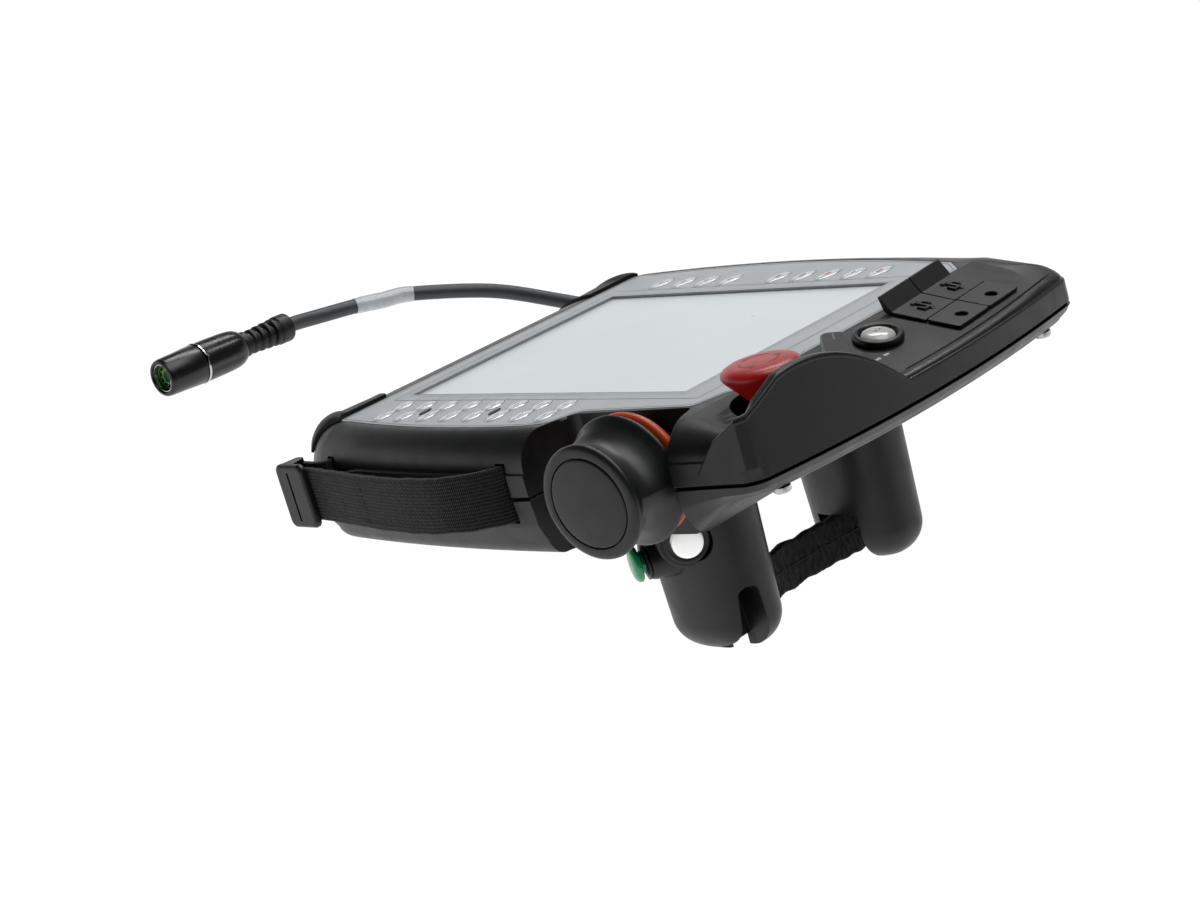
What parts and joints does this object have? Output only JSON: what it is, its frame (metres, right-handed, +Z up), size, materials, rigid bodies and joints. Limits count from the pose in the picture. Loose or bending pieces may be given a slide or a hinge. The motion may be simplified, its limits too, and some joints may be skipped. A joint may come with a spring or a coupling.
{
  "type": "pendant control station",
  "caption": "Hand-held robot control pendant: upright touch screen, embossed keys, emergency stop, selector, mouse knob, grip domes, hand straps and a plugged cable.",
  "frame": {"origin": "on the floor under the middle of the pendant as it lies on its grip domes and lower rear edge, measured without its cable", "axes": "+Z up; +Y towards the raised top edge with the controls; +X to the right of the screen"},
  "size_m": [0.267, 0.4084, 0.1636],
  "materials": {
    "housing_plastic": "satin, fine-grained moulding",
    "gasket_rubber": "matt",
    "membrane_film": "fine matt film with embossed keys",
    "screen_glass": "smooth, glossy",
    "display_housing": "satin",
    "circuit_board": "solder resist",
    "guard_rubber": "matt moulded elastomer",
    "screw_steel": "zinc-plated, satin",
    "control_plastic": "satin moulding",
    "stem_plastic": "natural",
    "stop_red": "semi-gloss moulding",
    "key_grey": "satin moulding",
    "key_white": "semi-gloss moulding",
    "key_green": "semi-gloss moulding",
    "cover_rubber": "matt moulded elastomer",
    "socket_steel": "stamped, plated",
    "ring_orange": "satin moulding",
    "knob_rubber": "soft-touch, satin",
    "gimbal_steel": "turned",
    "loop_velour": "napped hook-and-loop tape",
    "strap_webbing": "ribbed woven webbing",
    "buckle_plastic": "satin moulding",
    "cable_jacket": "smooth cable jacket",
    "sleeve_film": "blank heat-shrink sleeve",
    "connector_plastic": "satin moulding",
    "connector_chrome": "bright plating",
    "insert_green": "moulded insulator"
  },
  "bodies": {
    "pendant": {"front_shell": "housing_plastic", "rear_shell": "housing_plastic", "cable_cover": "housing_plastic", "grip_dome_right": "housing_plastic", "grip_dome_left": "housing_plastic", "shell_gasket": "gasket_rubber", "keypad_membrane": "membrane_film", "touch_panel": "screen_glass", "display_module": "display_housing", "main_board": "circuit_board", "corner_guard_right": "guard_rubber", "corner_guard_left": "guard_rubber", "housing_screw_1": "screw_steel", "housing_screw_2": "screw_steel", "housing_screw_3": "screw_steel", "housing_screw_4": "screw_steel", "housing_screw_5": "screw_steel", "housing_screw_6": "screw_steel", "estop_contact_block": "control_plastic", "selector_switch": "control_plastic", "disconnect_switch": "control_plastic", "mouse_mount": "control_plastic", "enabling_switch_right": "control_plastic", "enabling_switch_left": "control_plastic", "start_switch": "control_plastic", "port_pad_right": "cover_rubber", "port_pad_left": "cover_rubber", "cable_gland": "cover_rubber", "connector_boot": "cover_rubber", "usb_socket_right": "socket_steel", "usb_socket_left": "socket_steel", "mouse_ring": "ring_orange", "dome_strap": "loop_velour", "hand_strap_right": "strap_webbing", "hand_strap_left": "strap_webbing", "strap_buckle_right": "buckle_plastic", "strap_buckle_left": "buckle_plastic", "cable": "cable_jacket", "cable_sleeve": "sleeve_film", "connector_body": "connector_plastic", "connector_barrel": "connector_plastic", "connector_ring": "connector_chrome", "connector_insert": "insert_green"},
    "port_cover_right": {"port_lid_right": "cover_rubber"},
    "port_cover_left": {"port_lid_left": "cover_rubber"},
    "stop_plunger": {"estop_stem": "stem_plastic"},
    "stop_mushroom": {"estop_head": "stop_red"},
    "mode_selector": {"selector_knob": "control_plastic"},
    "disconnect_key": {"disconnect_button": "key_grey"},
    "enabling_key_right": {"enabling_button_right": "key_white"},
    "enabling_key_left": {"enabling_button_left": "key_white"},
    "start_key": {"start_button": "key_green"},
    "mouse_slide": {"mouse_plunger": "gimbal_steel"},
    "mouse_tilt": {"mouse_gimbal_ring": "gimbal_steel"},
    "mouse_swing": {"mouse_gimbal_hub": "gimbal_steel"},
    "mouse_grip": {"mouse_knob": "knob_rubber", "mouse_cap": "knob_rubber"}
  },
  "joints": [
    {"name": "port_cover_right_open", "type": "hinge", "parent": "pendant", "child": "port_cover_right", "pos_m": [-0.04953, 0.10447, 0.13907], "axis": [-0.9962, -0.0863, -0.0123], "range_deg": [0, 110], "stiffness_Nm_per_rad": 0.001},
    {"name": "port_cover_left_open", "type": "hinge", "parent": "pendant", "child": "port_cover_left", "pos_m": [-0.04953, 0.10447, 0.13907], "axis": [-0.9962, -0.0863, -0.0123], "range_deg": [0, 110], "stiffness_Nm_per_rad": 0.001},
    {"name": "stop_press", "type": "slide", "parent": "pendant", "child": "stop_plunger", "axis": [0, 0.3771, -0.9262], "range_m": [0, 0.004]},
    {"name": "stop_twist", "type": "hinge", "parent": "stop_plunger", "child": "stop_mushroom", "pos_m": [0.0639, 0.10096, 0.14148], "axis": [0, 0.3771, -0.9262], "range_deg": [0, 40], "stiffness_Nm_per_rad": 0.03},
    {"name": "mode_turn", "type": "hinge", "parent": "pendant", "child": "mode_selector", "pos_m": [0.0284, 0.10628, 0.13771], "axis": [0, -0.1412, 0.99], "range_deg": [0, 90]},
    {"name": "disconnect_press", "type": "slide", "parent": "pendant", "child": "disconnect_key", "axis": [0, 0.1412, -0.99], "range_m": [0, 0.0015], "stiffness_N_per_m": 800},
    {"name": "enabling_right_press", "type": "slide", "parent": "pendant", "child": "enabling_key_right", "axis": [-0.6396, -0.7382, -0.2143], "range_m": [0, 0.003], "stiffness_N_per_m": 1500},
    {"name": "enabling_left_press", "type": "slide", "parent": "pendant", "child": "enabling_key_left", "axis": [0.6396, -0.7382, -0.2143], "range_m": [0, 0.003], "stiffness_N_per_m": 1500},
    {"name": "start_press", "type": "slide", "parent": "pendant", "child": "start_key", "axis": [-0.8601, 0.4724, 0.1924], "range_m": [0, 0.0013], "stiffness_N_per_m": 1000},
    {"name": "mouse_push", "type": "slide", "parent": "pendant", "child": "mouse_slide", "axis": [0.9959, 0.0834, 0.0339], "range_m": [-0.001, 0.001], "stiffness_N_per_m": 3000},
    {"name": "mouse_pitch", "type": "hinge", "parent": "mouse_slide", "child": "mouse_tilt", "pos_m": [0.1128, 0.06644, 0.10497], "axis": [-0.09, 0.9224, 0.3756], "range_deg": [-2.5, 2.5], "stiffness_Nm_per_rad": 1.5},
    {"name": "mouse_yaw", "type": "hinge", "parent": "mouse_tilt", "child": "mouse_swing", "pos_m": [0.1128, 0.06644, 0.10497], "axis": [0, -0.3771, 0.9262], "range_deg": [-2.5, 2.5], "stiffness_Nm_per_rad": 1.5},
    {"name": "mouse_twist", "type": "hinge", "parent": "mouse_swing", "child": "mouse_grip", "pos_m": [0.1128, 0.06644, 0.10497], "axis": [0.9959, 0.0834, 0.0339], "range_deg": [-5, 5], "stiffness_Nm_per_rad": 0.6}
  ]
}
